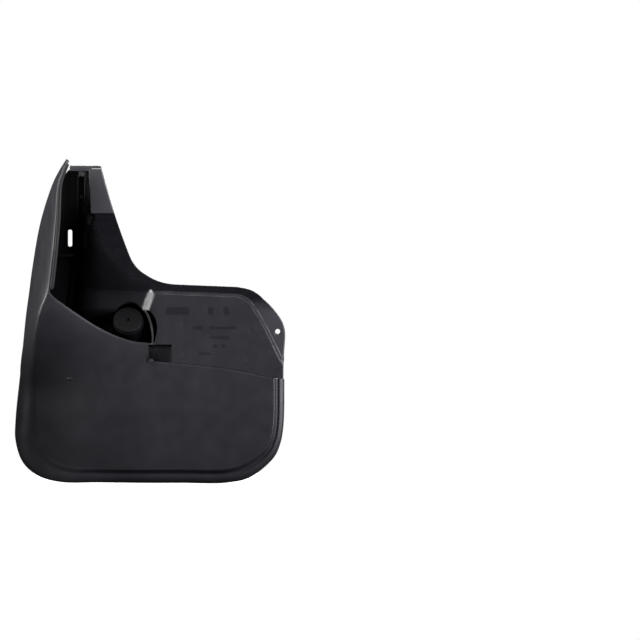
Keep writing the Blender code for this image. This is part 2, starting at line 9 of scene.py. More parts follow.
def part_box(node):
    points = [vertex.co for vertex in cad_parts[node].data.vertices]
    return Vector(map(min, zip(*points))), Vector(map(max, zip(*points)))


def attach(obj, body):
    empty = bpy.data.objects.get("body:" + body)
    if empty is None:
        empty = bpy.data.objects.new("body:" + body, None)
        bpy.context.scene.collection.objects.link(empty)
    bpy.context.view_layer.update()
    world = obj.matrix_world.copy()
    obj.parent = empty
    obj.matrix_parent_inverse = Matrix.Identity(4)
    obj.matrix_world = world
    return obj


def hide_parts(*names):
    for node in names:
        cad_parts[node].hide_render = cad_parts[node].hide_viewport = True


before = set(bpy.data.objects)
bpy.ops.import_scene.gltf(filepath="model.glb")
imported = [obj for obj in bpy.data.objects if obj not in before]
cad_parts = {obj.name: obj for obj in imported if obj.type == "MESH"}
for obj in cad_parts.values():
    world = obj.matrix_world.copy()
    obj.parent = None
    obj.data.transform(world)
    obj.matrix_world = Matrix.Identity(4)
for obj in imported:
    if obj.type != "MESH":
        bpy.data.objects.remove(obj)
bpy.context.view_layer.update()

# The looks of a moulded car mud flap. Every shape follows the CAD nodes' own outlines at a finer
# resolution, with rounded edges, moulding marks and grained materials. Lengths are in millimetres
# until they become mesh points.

MM = 0.001
SHARP_ANGLE = math.radians(38.0)

SKIN, WALL, GAP = 2.8, 3.0, 0.35
SEAM_Y, FLANGE_Y, UPRIGHT_LEAN = -3.2, 5.0, 13.0
LAND_Y, LAND_WIDTH = 44.0, 6.5
BACK_Y = LAND_Y + WALL + GAP
TOP_Z, CARRIER_FOOT, COVERED_Y = 173.8, -60.0, 0.5
BACK_CLEARANCE = 2.2
RECESS_DEPTH, RECESS_TOP, RECESS_RIGHT = 8.5, -10.0, -45.6
TAB_SLOPE, TAB_NOTCH = (0.11, 0.06), (57.35, -45.72)
STEP_RUN, FACE_ROLL = 3.2, 13.0
# Steps between two outline points; the most that a straight wall's depth grows where its front is
# steep, as a multiple of its thickness; length of the cutters for through holes.
STEPS, MOST_OBLIQUE, THROUGH = 10, 2.8, 20.0

# Outer edge x, z; crease or panel edge x, z; y of the outer edge; share of the stepped rim.
SHELL_EDGE = (
    (-156.5, 185.0, -155.6, 183.8, -9.0, 0.0),
    (-165.5, 171.0, -161.5, 170.0, 8.0, 0.0),
    (-172.0, 158.0, -165.3, 157.0, 24.0, 0.0),
    (-184.6, 119.0, -167.6, 118.0, 44.0, 0.0),
    (-193.8, 67.0, -172.5, 67.0, 46.4, 0.0),
    (-196.5, 46.0, -175.6, 46.0, 46.4, 0.0),
    (-199.9, 21.0, -184.5, 21.0, 46.4, 0.0),
    (-205.3, -34.0, -189.0, -32.0, 46.4, 0.0),
    (-210.9, -90.0, -189.0, -88.0, 42.0, 0.0),
    (-210.8, -111.0, -187.0, -106.0, 36.0, 0.0),
    (-203.0, -134.0, -180.0, -121.0, 27.0, 0.15),
    (-187.0, -148.0, -168.0, -133.0, 19.0, 0.5),
    (-163.0, -154.5, -151.0, -139.5, 12.0, 1.0),
    (-121.0, -155.3, -121.0, -140.8, 9.0, 1.0),
    (-79.0, -155.8, -79.0, -141.0, 9.0, 1.0),
    (-34.0, -155.8, -34.0, -141.0, 9.0, 1.0),
    (12.0, -155.6, 11.0, -140.8, 9.0, 1.0),
    (36.5, -150.0, 30.0, -135.4, 9.0, 1.0),
    (62.0, -129.0, 50.6, -121.6, 9.0, 1.0),
    (69.2, -112.8, 57.8, -109.6, 9.0, 1.0),
    (72.0, -96.0, 60.8, -95.0, 9.0, 1.0),
    (72.9, -78.0, 61.6, -78.0, 9.0, 1.0),
    (73.0, -60.0, 61.7, -60.0, 9.0, 1.0),
    (73.0, -46.4, 61.6, -46.4, 9.0, 1.0),
)
SHOULDER, LOWER_LEFT, LOWER_RIGHT = 5, 10, 18
# The panel's upper edge as x, z: free over the pocket, then the seam over the carrier.
POCKET_EDGE = ((-175.6, 46.0), (-170.0, 39.6), (-160.0, 32.2), (-147.0, 23.0), (-124.5, 8.5),
               (-104.0, -1.5), (-86.0, -7.2), (-70.6, -9.0))
SEAM = ((-70.0, -28.0), (-46.0, -30.0), (-10.0, -33.5), (30.0, -39.4), (61.6, -46.4))

# Edges of the carrier as z, x.
TAB_EDGE = ((-60.0, 71.4), (-27.0, 71.6), (1.0, 73.2), (7.0, 72.5), (14.4, 69.9), (25.2, 62.5),
            (35.2, 53.2), (43.2, 43.6), (47.0, 35.8), (49.5, 23.0))
UPRIGHT_EDGE = ((52.8, -42.0), (54.1, -52.0), (57.3, -62.4), (61.2, -70.0), (68.4, -80.4),
                (78.0, -87.9), (91.0, -93.4), (115.0, -102.2), (138.0, -109.7), (162.0, -116.6),
                (TOP_Z, -119.6))
ROLL_EDGE = ((-60.0, -61.0), (30.0, -61.0), (45.0, -65.0), (57.0, -80.0), (66.0, -93.0),
             (78.0, -106.0), (90.0, -116.0), (108.0, -123.0), (126.0, -126.5), (133.0, -130.0),
             (TOP_Z, -130.0))
LAND_EDGE = ((-60.0, -150.0), (15.0, -150.0), (50.0, -146.0), (90.0, -141.0), (130.0, -139.0),
             (TOP_Z, -138.0))
# The flat face's outline as x, z, from its foot round its upper right corner and along its top.
FACE_OUTLINE = ((84.0, -70.0), (80.0, -48.0), (72.4, -33.0), (66.8, -23.5), (61.8, -13.4),
                (51.0, 8.2), (40.2, 26.7), (34.0, 34.6), (26.0, 38.9), (12.0, 39.9),
                (-20.0, 41.2), (-60.0, 42.9), (-160.0, 47.2))
# Sides of the channel's back as z, x.
BACK_RIGHT = ((-108.0, -43.0), (36.0, -43.0), (46.0, -52.0), (53.0, -65.0), (62.0, -81.0),
              (74.0, -91.0), (92.0, -98.0), (116.0, -107.0), (138.0, -114.5), (TOP_Z, -124.0))
BACK_LEFT = ((-108.0, -180.0), (-76.0, -181.0), (-58.0, -203.0), (21.0, -197.6), (67.0, -191.6),
             (119.0, -182.6), (138.0, -177.0), (147.0, -172.5), (158.0, -166.5), (166.0, -160.5),
             (TOP_Z, -154.5))
# Left, right, foot and top of the clip slot and of the ledge under it.
SLOT = (-155.5, -151.1, 93.4, 111.2)
LEDGE = (-168.0, -149.4, 82.5, 85.5)

BOSS_FACE = Vector((-91.4, 7.0, 15.0))
BOSS_TILT = math.radians(30.0)
BOSS_RADIUS, BUFFER_RADIUS, BUFFER_THICK, PILOT_RADIUS, WELL_RADIUS = 16.6, 15.2, 2.6, 1.6, 18.4
AXIS_Y = Matrix.Rotation(math.radians(90.0), 3, "X")
AXIS_BACK = Matrix.Rotation(math.radians(-90.0), 3, "X")
AXIS_BOSS = Matrix.Rotation(math.radians(90.0) - BOSS_TILT, 3, "X")

SEAL_RADIUS = 2.3
SHELF_X, SHELF_HOLE, SHELF_HOLE_RADIUS = (-153.6, -119.6), (-138.0, 27.0), 3.5
SHELF_TILT, SHELF_TOP, LIP_RIGHT, LIP_DROP = math.radians(2.5), 178.4, -133.7, 5.6
NUT_WIDTH, NUT_DEPTH, NUT_SHEET, NUT_EAR = 11.0, 19.0, 1.2, 7.2
BARREL_RADIUS, BARREL_HEIGHT = 4.1, 5.0
TAB_HOLE = (65.9, 3.8)
TAB_HOLE_RADIUS, TAB_SINK_RADIUS, TAB_SINK_DEPTH = 2.6, 3.5, 1.8
PAD_Z, PAD_THICK = (128.0, 175.0), 3.0
PAD_LEFT = ((128.0, -131.2), (175.0, -133.3))
RIVET_HEAD_RADIUS, RIVET_HEAD_HEIGHT, RIVET_SHANK_RADIUS, BLIND_DEPTH = 5.0, 2.2, 2.0, 1.6
SEAM_RIVETS = ((-25.0, -52.5), (8.0, -53.5), (40.0, -54.5))
SKIRT_RIVETS = ((-152.0, -101.5), (-108.0, -101.5), (-64.0, -101.5))
LAND_RIVETS = (8.0, 66.0, 146.0)


# Curves and surfaces

def ease(value):
    t = np.clip(value, 0.0, 1.0)
    return t * t * (3.0 - 2.0 * t)


def curve_through(points, steps):
    """A smooth curve through the points, with the same number of steps between each two."""
    points = np.array(points, float)
    gaps = np.linalg.norm(np.diff(points[:, :2], axis=0), axis=1)[:, None] ** 0.5
    slopes = np.diff(points, axis=0) / gaps
    inner = (slopes[:-1] * gaps[1:] + slopes[1:] * gaps[:-1]) / (gaps[1:] + gaps[:-1])
    tangents = np.vstack((slopes[:1], inner, slopes[-1:]))
    found = []
    for i, gap in enumerate(gaps):
        for t in np.arange(steps) / steps:
            found.append(
                (1 + 2 * t) * (1 - t) ** 2 * points[i] + t * (1 - t) ** 2 * gap * tangents[i]
                + t * t * (3 - 2 * t) * points[i + 1] - t * t * (1 - t) * gap * tangents[i + 1]
            )
    return np.array(found + [points[-1]])


def smooth_reader(edge):
    """A function giving an edge's x at height z."""
    line = curve_through(edge, 16)
    return lambda z: np.interp(z, line[:, 0], line[:, 1])


def evenly(points, count):
    """This many points, equally far apart along the line."""
    length = np.concatenate(([0.0], np.cumsum(np.linalg.norm(np.diff(points, axis=0), axis=1))))
    wanted = np.linspace(0.0, length[-1], count)
    return np.column_stack([np.interp(wanted, length, column) for column in points.T])


tab_x, upright_x = smooth_reader(TAB_EDGE), smooth_reader(UPRIGHT_EDGE)
roll_x, land_x = smooth_reader(ROLL_EDGE), smooth_reader(LAND_EDGE)
back_right_x, back_left_x = smooth_reader(BACK_RIGHT), smooth_reader(BACK_LEFT)
SEAM_LINE = curve_through(SEAM, 16)
FACE_LINE = curve_through(FACE_OUTLINE, 12)


def seam_z(x):
    """Height of the shell's upper edge over the carrier."""
    return np.interp(x, SEAM_LINE[:, 0], SEAM_LINE[:, 1])


def signed_distance(x, z, line):
    """Distance to the left-going line, positive on its outer side."""
    best = np.full(np.shape(x), np.inf)
    sign = np.ones(np.shape(x))
    for (ax, az), (bx, bz) in zip(line, line[1:]):
        dx, dz = bx - ax, bz - az
        t = np.clip(((x - ax) * dx + (z - az) * dz) / (dx * dx + dz * dz), 0.0, 1.0)
        far = np.hypot(x - ax - t * dx, z - az - t * dz)
        side = np.where((z - az) * dx - (x - ax) * dz > 0.0, -1.0, 1.0)
        nearer = far < best
        best, sign = np.where(nearer, far, best), np.where(nearer, side, sign)
    return best * sign


def shell_y(x, z):
    """Front face of the outer shell."""
    left = np.clip((-70.0 - x) / 130.0, 0.0, 1.0)
    fall = 24.0 * left**2 * (1.0 - ease((z + 70.0) / 100.0))
    forward = 12.0 * ease((-75.0 - x) / 100.0) * ease((z + 60.0) / 100.0)
    wing = 4.0 * ease((z - 40.0) / 60.0)
    foot = 4.0 * np.clip((-70.0 - z) / 85.0, 0.0, 1.0) ** 2
    return SEAM_Y + fall - forward - wing + foot


def flange_y(z):
    """Front face of the edge flange and of the upright, which leans back."""
    return FLANGE_Y + UPRIGHT_LEAN * ease((z - 50.0) / 120.0)


def tab_y(x, z):
    """Front face of the tab, which is a sloping plane."""
    return FLANGE_Y + TAB_SLOPE[0] * (x - 45.0) + TAB_SLOPE[1] * z


def roll_depth(share, z):
    """Share of the depth to the land: a quarter round on the upright, a quicker roll at both ends."""
    slow = ease((z - 8.0) / 20.0) * (1.0 - ease((z - 115.0) / 20.0))
    return (1.0 - slow) * ease(share**0.8) + slow * (1.0 - np.sqrt(1.0 - 0.99 * share**1.9)) / 0.9


# Mesh helpers

def add_object(name, data, material):
    obj = bpy.data.objects.new(name, data)
    bpy.context.scene.collection.objects.link(obj)
    data.materials.append(material)
    data.shade_smooth()
    data.set_sharp_from_angle(angle=SHARP_ANGLE)
    return obj


def add_grid(mesh, rows):
    verts = [[mesh.verts.new(Vector(p) * MM) for p in row] for row in rows]
    for upper, lower in zip(verts, verts[1:]):
        for i in range(len(upper) - 1):
            mesh.faces.new((upper[i], upper[i + 1], lower[i + 1], lower[i]))


def wall_from(name, grids, thickness, material, softening=0, roundness=0.5, cap_steps=6, straight=False):
    """A wall behind a front made of lofts that share their edges. Its back follows a softened copy
    of the front, square to it or, if straight, along +Y, and its free edges are rounded."""
    mesh = bmesh.new()
    for rows in grids:
        add_grid(mesh, rows)
    bmesh.ops.remove_doubles(mesh, verts=mesh.verts, dist=1e-5)
    bmesh.ops.recalc_face_normals(mesh, faces=mesh.faces)
    if sum(f.normal.y * f.calc_area() for f in mesh.faces) > 0.0:
        bmesh.ops.reverse_faces(mesh, faces=mesh.faces)
    soft = mesh.copy()
    inner = [v for v in soft.verts if not v.is_boundary]
    for _ in range(softening):
        bmesh.ops.smooth_vert(
            soft, verts=inner, factor=0.5, use_axis_x=True, use_axis_y=True, use_axis_z=True
        )
    soft.normal_update()
    mesh.verts.index_update()
    fronts, faces = list(mesh.verts), list(mesh.faces)
    places = []
    for front, v in zip(fronts, soft.verts):
        deeper = max(0.0, front.co.y - v.co.y)
        reach = min(1.0 / max(0.01, -v.normal.y), MOST_OBLIQUE)
        offset = Vector((0.0, reach, 0.0)) if straight else -v.normal
        places.append(v.co + offset * thickness * MM + Vector((0.0, deeper, 0.0)))
    soft.free()
    rim_loops = [e.link_loops[0] for e in mesh.edges if e.is_boundary]
    rims = [(loop.vert, loop.link_loop_next.vert, loop.face.normal.copy()) for loop in rim_loops]
    outward = {}
    for a, b, normal in rims:
        away = (b.co - a.co).cross(normal).normalized()
        for v in (a, b):
            outward[v] = outward.get(v, Vector()) + away
    backs = [mesh.verts.new(p) for p in places]
    rings = {}
    for v, away in outward.items():
        back = backs[v.index]
        middle, half = (v.co + back.co) / 2, (v.co - back.co) / 2
        reach = away / 2 * half.length * roundness
        ring = [v]
        for k in range(1, cap_steps):
            turn = math.pi * k / cap_steps
            ring.append(mesh.verts.new(middle + half * math.cos(turn) + reach * math.sin(turn)))
        rings[v] = ring + [back]
    for f in faces:
        mesh.faces.new([backs[v.index] for v in reversed(f.verts)])
    for a, b, _ in rims:
        for k in range(cap_steps):
            mesh.faces.new((rings[b][k], rings[a][k], rings[a][k + 1], rings[b][k + 1]))
    data = bpy.data.meshes.new(name)
    mesh.to_mesh(data)
    mesh.free()
    return add_object(name, data, material)


def loft(name, rings, material, closed_path=False):
    """A closed body through rings of points, which run round its outside."""
    mesh = bmesh.new()
    verts = [[mesh.verts.new(Vector(p) * MM) for p in ring] for ring in rings]
    pairs = list(zip(verts, verts[1:])) + ([(verts[-1], verts[0])] if closed_path else [])
    for one, two in pairs:
        for i in range(len(one)):
            j = (i + 1) % len(one)
            mesh.faces.new((one[i], one[j], two[j], two[i]))
    if not closed_path:
        mesh.faces.new(verts[0])
        mesh.faces.new(reversed(verts[-1]))
    bmesh.ops.recalc_face_normals(mesh, faces=mesh.faces)
    data = bpy.data.meshes.new(name)
    mesh.to_mesh(data)
    mesh.free()
    return add_object(name, data, material)


def rounded(points, radius, steps=4):
    """The closed outline with its corners rounded. radius is one number or one for each corner."""
    points = [np.array(p, float) for p in points]
    found = []
    for i, here in enumerate(points):
        before, after = points[i - 1], points[(i + 1) % len(points)]
        r = radius[i] if hasattr(radius, "__len__") else radius
        to_before, to_after = before - here, after - here
        reach_b, reach_a = np.linalg.norm(to_before), np.linalg.norm(to_after)
        r = min(r, 0.49 * reach_b, 0.49 * reach_a)
        if r <= 0.0:
            found.append(here)
            continue
        start, end = here + to_before / reach_b * r, here + to_after / reach_a * r
        for t in np.linspace(0.0, 1.0, steps + 1):
            found.append((1 - t) ** 2 * start + 2 * t * (1 - t) * here + t * t * end)
    return found


def turned(name, profile, material, steps=64):
    """A closed profile of radius, height pairs turned about Z, outer side running downwards."""
    data = bpy.data.meshes.new(name)
    points = [(r * MM, 0.0, h * MM) for r, h in profile]
    closed = profile[0][0] > 0.0
    edges = [(i, i + 1) for i in range(len(points) - 1)] + ([(len(points) - 1, 0)] if closed else [])
    data.from_pydata(points, edges, [])
    obj = add_object(name, data, material)
    screw = obj.modifiers.new("turn", "SCREW")
    screw.axis = "Z"
    screw.steps = screw.render_steps = steps
    screw.use_merge_vertices = True
    screw.merge_threshold = 0.00001
    screw.use_smooth_shade = True
    return obj


def cylinder_into(mesh, centre, radius, depth, rotation, sides=48, radius2=None):
    place = Matrix.Translation(Vector(centre) * MM) @ rotation.to_4x4()
    bmesh.ops.create_cone(
        mesh, cap_ends=True, segments=sides, radius1=radius * MM,
        radius2=(radius if radius2 is None else radius2) * MM, depth=depth * MM, matrix=place,
    )


def helper(name, mesh):
    """A hidden Boolean operand."""
    data = bpy.data.meshes.new(name)
    mesh.to_mesh(data)
    mesh.free()
    obj = bpy.data.objects.new(name, data)
    HELPERS.objects.link(obj)
    obj.hide_render = True
    obj.display_type = "WIRE"
    return obj


def hidden(obj):
    """Turns a finished object into a hidden Boolean operand."""
    for collection in list(obj.users_collection):
        collection.objects.unlink(obj)
    HELPERS.objects.link(obj)
    obj.hide_render = True
    obj.display_type = "WIRE"
    return obj


def boolean(obj, other, operation="DIFFERENCE"):
    modifier = obj.modifiers.new(other.name, "BOOLEAN")
    modifier.operation = operation
    modifier.object = other
    modifier.solver = "EXACT"


def settle(obj):
    """Applies the object's modifiers, so that later edits see the final mesh."""
    graph = bpy.context.evaluated_depsgraph_get()
    data = bpy.data.meshes.new_from_object(obj.evaluated_get(graph))
    obj.modifiers.clear()
    obj.data = data
    data.shade_smooth()
    data.set_sharp_from_angle(angle=SHARP_ANGLE)


def add_painted_shade(obj, shade_at):
    """Stores the share of the material's painted shade and gloss change at each vertex, given as x, y, z
    arrays.
    """
    points = np.empty(len(obj.data.vertices) * 3)
    obj.data.vertices.foreach_get("co", points)
    values = obj.data.attributes.new("painted_shade_and_gloss", "FLOAT", "POINT")
    values.data.foreach_set("value", shade_at(*(points.reshape(-1, 3) / MM).T))


def own(obj, slot, *nodes):
    """Bakes a finished piece's place into its mesh and lets it stand for these CAD nodes."""
    if obj.matrix_world != Matrix.Identity(4):
        settle(obj)
        obj.data.transform(obj.matrix_world)
        obj.matrix_world = Matrix.Identity(4)
    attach(obj, "root")
    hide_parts(*nodes)


# Materials

PAD_COLOUR = (0.045, 0.045, 0.047)


def plastic(name, colour, roughness, grain=0.35, grain_size=0.45, wear=0.5, specular=0.5,
            uneven=0.2, metallic=0.0, painted_shade_look=None, deep=None):
    """Moulded surface: fine grain, slow changes of shade and gloss, and edges rubbed a little lighter."""
    material = bpy.data.materials.new(name)
    material.use_nodes = True
    tree = material.node_tree
    nodes, links = tree.nodes, tree.links
    shader = nodes["Principled BSDF"]
    shader.inputs["Metallic"].default_value = metallic
    shader.inputs["Specular IOR Level"].default_value = specular
    place = nodes.new("ShaderNodeTexCoord").outputs["Object"]

    def noise(size, detail=3.0, rough=0.55):
        node = nodes.new("ShaderNodeTexNoise")
        node.inputs["Scale"].default_value = 1.0 / (size * MM)
        node.inputs["Detail"].default_value = detail
        node.inputs["Roughness"].default_value = rough
        links.new(place, node.inputs["Vector"])
        return node.outputs["Fac"]

    def spread(value, low, high, start=0.3, end=0.7):
        node = nodes.new("ShaderNodeMapRange")
        node.inputs["From Min"].default_value = start
        node.inputs["From Max"].default_value = end
        node.inputs["To Min"].default_value = low
        node.inputs["To Max"].default_value = high
        links.new(value, node.inputs["Value"])
        return node.outputs["Result"]

    def combine(operation, a, b):
        node = nodes.new("ShaderNodeMath")
        node.operation = operation
        node.use_clamp = True
        for socket, value in zip(node.inputs, (a, b)):
            if isinstance(value, float):
                socket.default_value = value
            else:
                links.new(value, socket)
        return node.outputs["Value"]

    def blend(factor, a, b):
        node = nodes.new("ShaderNodeMix")
        node.data_type = "RGBA"
        node.clamp_factor = True
        links.new(factor, node.inputs[0])
        for socket, value in ((node.inputs[6], a), (node.inputs[7], b)):
            if isinstance(value, tuple):
                socket.default_value = (*value, 1.0)
            else:
                links.new(value, socket)
        return node.outputs[2]

    dark = tuple(c * (1.0 - uneven) for c in colour)
    light = tuple(c * (1.0 + uneven) for c in colour)
    shade = blend(spread(noise(38.0, 4.0), 0.0, 1.0), dark, light)
    speck = spread(noise(1.6, 2.0), 0.0, 1.0, 0.62, 0.78)
    shade = blend(combine("MULTIPLY", speck, 0.18), shade, tuple(c * 1.9 + 0.01 for c in colour))
    edges = spread(nodes.new("ShaderNodeNewGeometry").outputs["Pointiness"], 0.0, 1.0, 0.515, 0.6)
    rubbed = combine("MULTIPLY", edges, spread(noise(9.0, 5.0, 0.7), 0.15, 1.0, 0.35, 0.65))
    rubbed = combine("MULTIPLY", rubbed, wear)
    shade = blend(rubbed, shade, tuple(min(1.0, c * 2.6 + 0.02) for c in colour))
    gloss = combine("ADD", spread(noise(14.0, 4.0), -0.04, 0.05), roughness)
    strength = None
    if painted_shade_look is not None:
        # Painted shade: where the mask attribute is 1 the surface is painted darker, and its gloss and
        # specular strength differ.
        painted_shade_and_gloss = nodes.new("ShaderNodeAttribute")
        painted_shade_and_gloss.attribute_name = "painted_shade_and_gloss"
        smooth, darker, weaker = painted_shade_look
        shade = blend(painted_shade_and_gloss.outputs["Fac"], shade, tuple(c * darker for c in colour))
        gloss = combine("SUBTRACT", gloss, combine("MULTIPLY", painted_shade_and_gloss.outputs["Fac"], roughness - smooth))
        kept = combine("SUBTRACT", 1.0, combine("MULTIPLY", painted_shade_and_gloss.outputs["Fac"], 1.0 - weaker))
        strength = combine("MULTIPLY", kept, specular)
    if deep is not None:
        # Painted shade: darker, with weaker specular, towards the depth of the channel.
        axes = nodes.new("ShaderNodeSeparateXYZ")
        links.new(place, axes.inputs[0])
        painted_depth_shade = spread(axes.outputs["Y"], 0.0, 1.0, deep[0] * MM, deep[1] * MM)
        shade = blend(painted_depth_shade, shade, tuple(c * 0.12 for c in colour))
        kept = combine("SUBTRACT", 1.0, combine("MULTIPLY", painted_depth_shade, 0.85))
        strength = combine("MULTIPLY", kept, strength or specular)
    if strength:
        links.new(strength, shader.inputs["Specular IOR Level"])
    links.new(shade, shader.inputs["Base Color"])
    gloss = combine("SUBTRACT", gloss, combine("MULTIPLY", rubbed, 0.12))
    links.new(gloss, shader.inputs["Roughness"])
    fine = nodes.new("ShaderNodeBump")
    fine.inputs["Strength"].default_value = grain
    fine.inputs["Distance"].default_value = 0.05 * MM
    links.new(noise(grain_size, 2.0), fine.inputs["Height"])
    slow = nodes.new("ShaderNodeBump")
    slow.inputs["Strength"].default_value = 0.12
    slow.inputs["Distance"].default_value = 0.6 * MM
    links.new(noise(30.0, 1.0), slow.inputs["Height"])
    links.new(fine.outputs["Normal"], slow.inputs["Normal"])
    links.new(slow.outputs["Normal"], shader.inputs["Normal"])
    return material


# The outer shell

def turned_side(w, sharpness):
    """Share of the side's depth at share w of its width."""
    return 1.0 - (1.0 - w**sharpness) ** (1.0 / sharpness)


def grooved_rim(w):
    """Share of the rim's depth at share w of its width: a wall, a groove, then a round lip."""
    wall = 0.5 * ease((w - 0.02) / 0.32)
    lip = 0.03 * ease((w - 0.36) / 0.2)
    t = np.clip((w - 0.5) / 0.5, 0.0, 1.0)
    return wall - lip + 0.53 * (1.0 - np.sqrt(1.0 - 0.98 * t * t)) / (1.0 - math.sqrt(0.02))


def edge_strip(lines):
    """Rows from the crease or panel edge to the shell's outer edge."""
    rows = []
    for w in SIDE_SHARES:
        row = []
        for outer_x, outer_z, inner_x, inner_z, outer_y, rim in lines:
            x, z = inner_x + w * (outer_x - inner_x), inner_z + w * (outer_z - inner_z)
            start = shell_y(inner_x, inner_z)
            sharpness = 1.35 + 0.65 * ease((60.0 - outer_z) / 120.0)
            share = (1.0 - rim) * turned_side(w, sharpness) + rim * grooved_rim(w)
            row.append((x, start + share * (outer_y - start), z))
        rows.append(row)
    return rows


def panel_patch(lines):
    """Rows that fill the panel between its four edges, from its bottom to its top."""
    left = lines[SHOULDER * STEPS : LOWER_LEFT * STEPS + 1, 2:4][::-1]
    bottom = lines[LOWER_LEFT * STEPS : LOWER_RIGHT * STEPS + 1, 2:4]
    right = lines[LOWER_RIGHT * STEPS :, 2:4]
    free_count = len(bottom) * 4 // 9
    free = evenly(curve_through(POCKET_EDGE, 12), free_count)
    seam = evenly(curve_through(SEAM, 12), len(bottom) - free_count)
    top = np.vstack((free, seam))
    u = np.linspace(0.0, 1.0, len(bottom))
    rows = []
    for j, share in enumerate(np.linspace(0.0, 1.0, len(left))):
        flat = (
            (1 - share) * bottom + share * top
            + (1 - u)[:, None] * left[j] + u[:, None] * right[j]
            - (1 - share) * ((1 - u)[:, None] * bottom[0] + u[:, None] * bottom[-1])
            - share * ((1 - u)[:, None] * top[0] + u[:, None] * top[-1])
        )
        rows.append([(x, shell_y(x, z), z) for x, z in flat])
    return rows


def on_shell(x, z, behind):
    """Place this far behind the shell's front at x, z, and the turn that points Z away from it."""
    step = 0.5
    slope_x = (shell_y(x + step, z) - shell_y(x - step, z)) / (2 * step)
    slope_z = (shell_y(x, z + step) - shell_y(x, z - step)) / (2 * step)
    normal = Vector((-slope_x, 1.0, -slope_z)).normalized()
    return Vector((x, shell_y(x, z), z)) + behind * normal, normal.to_track_quat("Z", "Y").to_matrix()


SIDE_SHARES = np.concatenate((np.linspace(0.0, 0.5, 17), np.linspace(0.54, 1.0, 12)))
HELPERS = bpy.data.collections.new("helpers")
bpy.context.scene.collection.children.link(HELPERS)


def shell_painted_shade(x, y, z):
    """Painted shade: darker, with weaker specular, on the lower part of the turned side, which turns away
    from the light.
    """
    return 0.9 * ease((-135.0 - x) / 55.0) * ease((10.0 - z) / 60.0) * (1.0 - 0.55 * ease((-90.0 - z) / 45.0))


def make_shell():
    lines = curve_through(SHELL_EDGE, STEPS)
    # The shell's mask paints shade only: the colour halves and the specular weakens, while the roughness
    # stays the same.
    black = plastic("shell_grain", (0.0135, 0.0132, 0.0160), 0.47, grain=0.4, grain_size=0.55,
                    painted_shade_look=(0.47, 0.5, 0.3))
    shell = wall_from(
        "shell_moulding", (edge_strip(lines), panel_patch(lines)), SKIN, black, softening=30, roundness=0.5
    )
    holes = bmesh.new()
    for x, z in SEAM_RIVETS + SKIRT_RIVETS:
        place, rotation = on_shell(x, z, SKIN)
        cylinder_into(holes, place, RIVET_SHANK_RADIUS + GAP, 2 * BLIND_DEPTH, rotation, 24)
    boolean(shell, helper("shell_holes", holes))
    gate = bmesh.new()
    place, rotation = on_shell(-153.0, -46.5, 0.0)
    bmesh.ops.create_uvsphere(gate, u_segments=24, v_segments=12, radius=1.0)
    bmesh.ops.scale(gate, verts=gate.verts, vec=Vector((2.9, 1.7, 0.55)) * MM)
    bmesh.ops.transform(gate, verts=gate.verts, matrix=Matrix.Translation(place * MM) @ rotation.to_4x4())
    boolean(shell, helper("gate_mark", gate), "UNION")
    settle(shell)
    add_painted_shade(shell, shell_painted_shade)
    own(shell, "shell_plastic", "outer_shell")


# The inner carrier

# Openings on both sides of a thin rib: a crescent, and the well's side. The last line is the rib's.
CRESCENT = ((-72.6, 26.0), (-69.0, 20.0), (-66.6, 13.0), (-65.2, 6.0), (-64.7, 0.0), (-64.9, -8.8),
            (-64.1, -8.8), (-62.4, -3.0), (-61.2, 4.0), (-61.0, 10.0), (-62.2, 16.0),
            (-65.6, 22.0), (-70.0, 26.2))
WELL_SIDE = ((-76.6, 27.0), (-74.2, 24.8), (-71.1, 19.0), (-68.6, 12.0), (-67.2, 5.0),
             (-66.6, -2.0), (-66.7, -8.8), (-84.0, -8.8), (-88.0, 4.0), (-86.0, 22.0))
WELL_RIB = ((-76.4, 29.5), (-73.2, 25.0), (-70.3, 19.0), (-68.0, 12.0), (-66.7, 5.0),
            (-66.2, -2.0), (-66.3, -9.6))
RIB_LINE = curve_through(WELL_RIB, 8)

# Centres and sizes of the blank panels and bars, and centres and radii of the ejector discs.
MARK_PANELS = (
    ((-40.0, 25.0), (25.0, 8.5)), ((-5.5, 25.0), (7.0, 9.0)), ((11.0, 25.0), (7.0, 9.0)),
    ((-19.0, 7.0), (10.0, 4.2)), ((8.0, 7.0), (30.0, 3.6)), ((4.0, -3.0), (21.0, 4.4)),
    ((-1.0, -12.0), (6.0, 4.2)), ((8.5, -12.0), (6.0, 4.2)), ((-11.0, -20.0), (14.0, 3.4)),
)
EJECTOR_DISCS = (((-33.0, 12.0), 3.2), ((38.0, 4.0), 3.2), ((34.0, -24.0), 3.2), ((-33.0, -20.0), 3.2))
MARK_DEPTH = 0.12

# The block with the flat face: where its even columns end on the left, the height of its rows at the
# top, and the height from which the rows are stretched up to the rising top edge.
BLOCK_LEFT, BLOCK_TOP, RISE_FROM = -42.0, 49.5, 36.0

# Columns of points from right to left: flat face, corner, roll into the channel, land behind it.
FACE_COLUMNS, ROLL_COLUMNS, LAND_COLUMNS = 150, 96, 6
CORNER_SHARES = np.concatenate((
    np.linspace(0.0, 0.168, 4), np.linspace(0.184, 0.226, 4), [0.263], np.linspace(0.263, 1.0, 18)[1:],
))
ROLL_SHARES = np.linspace(0.0, 1.0, ROLL_COLUMNS + 1)[1:] ** 1.25
LAND_SHARES = np.linspace(0.0, 1.0, LAND_COLUMNS + 1)[1:]


def raised_top(x, z):
    """Stretches the rows above the flat face up to the top edge, which rises to the left."""
    top = 50.2 + 2.6 * np.clip((22.0 - x) / 64.0, 0.0, 1.0)
    stretched = RISE_FROM + (z - RISE_FROM) * (top - RISE_FROM) / (BLOCK_TOP - RISE_FROM)
    return np.where(z > RISE_FROM, stretched, z)


